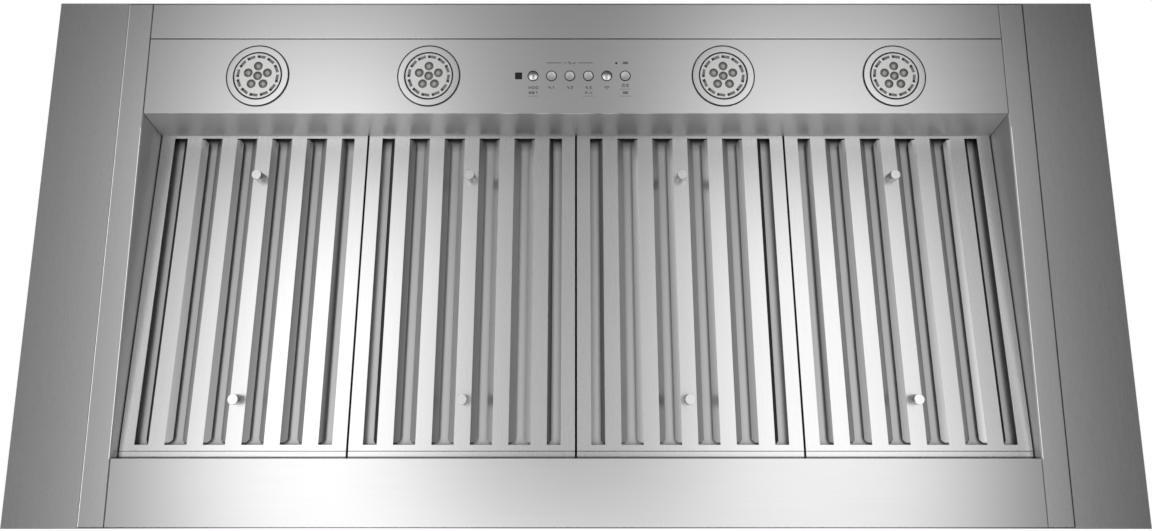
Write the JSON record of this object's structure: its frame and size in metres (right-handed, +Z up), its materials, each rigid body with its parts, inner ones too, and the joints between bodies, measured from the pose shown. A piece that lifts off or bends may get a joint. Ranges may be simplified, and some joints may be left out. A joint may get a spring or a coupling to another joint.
{
  "type": "island range hood",
  "caption": "Ceiling-hung steel range hood with a pyramid canopy, telescopic chimney, tilted baffle filters, underside lamps and push-button controls.",
  "frame": {"origin": "centre of the ceiling bracket's top face, where the hood hangs from the ceiling", "axes": "+X along the hood's length, -Y towards the side with the controls, +Z up"},
  "size_m": [1.3716, 0.657, 0.8655],
  "materials": {
    "brushed_steel_hood": "satin, fine brushed grain along the hood's length",
    "brushed_steel_chimney": "satin, fine upright brushed grain",
    "filter_steel": "satin, brushed along the baffles",
    "knob_steel": "turned and lightly polished",
    "lamp_trim": "satin spun ring",
    "lamp_face": "silver-white, semi-matte",
    "button_metal": "satin metal caps",
    "black_window": "dark gloss",
    "circuit_board": "green board",
    "grey_plastic": "moulded, fine texture",
    "galvanised_steel": "zinc-coated sheet, dull",
    "motor_casing": "dark grey enamel",
    "shaft_steel": "ground steel"
  },
  "bodies": {
    "hood": {"canopy_shell": "brushed_steel_hood", "canopy_top_plate": "galvanised_steel", "side_rail_left": "brushed_steel_hood", "side_rail_right": "brushed_steel_hood", "front_rail": "brushed_steel_hood", "rear_rail": "brushed_steel_hood", "control_fascia": "brushed_steel_hood", "lamp_1_holder": "lamp_trim", "lamp_1": "lamp_face", "lamp_2_holder": "lamp_trim", "lamp_2": "lamp_face", "lamp_3_holder": "lamp_trim", "lamp_3": "lamp_face", "lamp_4_holder": "lamp_trim", "lamp_4": "lamp_face", "status_window": "black_window", "filter_indicator": "black_window", "control_board": "circuit_board", "control_housing": "grey_plastic", "blower_housing": "galvanised_steel", "blower_motor": "motor_casing", "duct_collar": "galvanised_steel", "damper_pin": "shaft_steel", "wiring_box": "galvanised_steel", "chimney_upper_front": "brushed_steel_chimney", "chimney_upper_rear": "brushed_steel_chimney", "ceiling_bracket": "galvanised_steel", "upper_frame": "galvanised_steel", "lower_frame": "galvanised_steel"},
    "filter_1": {"filter_1_front_baffle": "filter_steel", "filter_1_rear_baffle": "filter_steel", "filter_1_front_knob": "knob_steel", "filter_1_rear_knob": "knob_steel"},
    "filter_2": {"filter_2_front_baffle": "filter_steel", "filter_2_rear_baffle": "filter_steel", "filter_2_front_knob": "knob_steel", "filter_2_rear_knob": "knob_steel"},
    "filter_3": {"filter_3_front_baffle": "filter_steel", "filter_3_rear_baffle": "filter_steel", "filter_3_front_knob": "knob_steel", "filter_3_rear_knob": "knob_steel"},
    "filter_4": {"filter_4_front_baffle": "filter_steel", "filter_4_rear_baffle": "filter_steel", "filter_4_front_knob": "knob_steel", "filter_4_rear_knob": "knob_steel"},
    "power_button": {"button_power": "button_metal"},
    "speed_1_button": {"button_speed_1": "button_metal"},
    "speed_2_button": {"button_speed_2": "button_metal"},
    "speed_3_button": {"button_speed_3": "button_metal"},
    "light_button": {"button_light": "button_metal"},
    "filter_reset_button": {"button_filter_reset": "button_metal"},
    "blower_rotor": {"motor_shaft": "shaft_steel", "impeller_left": "galvanised_steel", "impeller_right": "galvanised_steel"},
    "damper_front": {"damper_flap_front": "galvanised_steel"},
    "damper_rear": {"damper_flap_rear": "galvanised_steel"},
    "lower_chimney": {"chimney_lower_front": "brushed_steel_chimney", "chimney_lower_rear": "brushed_steel_chimney"}
  },
  "joints": [
    {"name": "filter_1_push", "type": "slide", "parent": "hood", "child": "filter_1", "axis": [0, -0.9948, 0.1016], "range_m": [0, 0.014]},
    {"name": "filter_2_push", "type": "slide", "parent": "hood", "child": "filter_2", "axis": [0, -0.9948, 0.1016], "range_m": [0, 0.014]},
    {"name": "filter_3_push", "type": "slide", "parent": "hood", "child": "filter_3", "axis": [0, -0.9948, 0.1016], "range_m": [0, 0.014]},
    {"name": "filter_4_push", "type": "slide", "parent": "hood", "child": "filter_4", "axis": [0, -0.9948, 0.1016], "range_m": [0, 0.014]},
    {"name": "power_press", "type": "slide", "parent": "hood", "child": "power_button", "axis": [0, 0, 1], "range_m": [0, 0.0015], "stiffness_N_per_m": 400, "springref_m": -0.002},
    {"name": "speed_1_press", "type": "slide", "parent": "hood", "child": "speed_1_button", "axis": [0, 0, 1], "range_m": [0, 0.0015], "stiffness_N_per_m": 400, "springref_m": -0.002},
    {"name": "speed_2_press", "type": "slide", "parent": "hood", "child": "speed_2_button", "axis": [0, 0, 1], "range_m": [0, 0.0015], "stiffness_N_per_m": 400, "springref_m": -0.002},
    {"name": "speed_3_press", "type": "slide", "parent": "hood", "child": "speed_3_button", "axis": [0, 0, 1], "range_m": [0, 0.0015], "stiffness_N_per_m": 400, "springref_m": -0.002},
    {"name": "light_press", "type": "slide", "parent": "hood", "child": "light_button", "axis": [0, 0, 1], "range_m": [0, 0.0015], "stiffness_N_per_m": 400, "springref_m": -0.002},
    {"name": "filter_reset_press", "type": "slide", "parent": "hood", "child": "filter_reset_button", "axis": [0, 0, 1], "range_m": [0, 0.0015], "stiffness_N_per_m": 400, "springref_m": -0.002},
    {"name": "blower_spin", "type": "hinge", "parent": "hood", "child": "blower_rotor", "pos_m": [0, 0.03209, -0.628], "axis": [1, 0, 0], "continuous": true},
    {"name": "damper_front_swing", "type": "hinge", "parent": "hood", "child": "damper_front", "pos_m": [0, 0, -0.4542], "axis": [-1, 0, 0], "range_deg": [0, 75]},
    {"name": "damper_rear_swing", "type": "hinge", "parent": "hood", "child": "damper_rear", "pos_m": [0, 0, -0.4542], "axis": [1, 0, 0], "range_deg": [0, 75]},
    {"name": "lower_chimney_lift", "type": "slide", "parent": "hood", "child": "lower_chimney", "axis": [0, 0, 1], "range_m": [0, 0.2]}
  ]
}
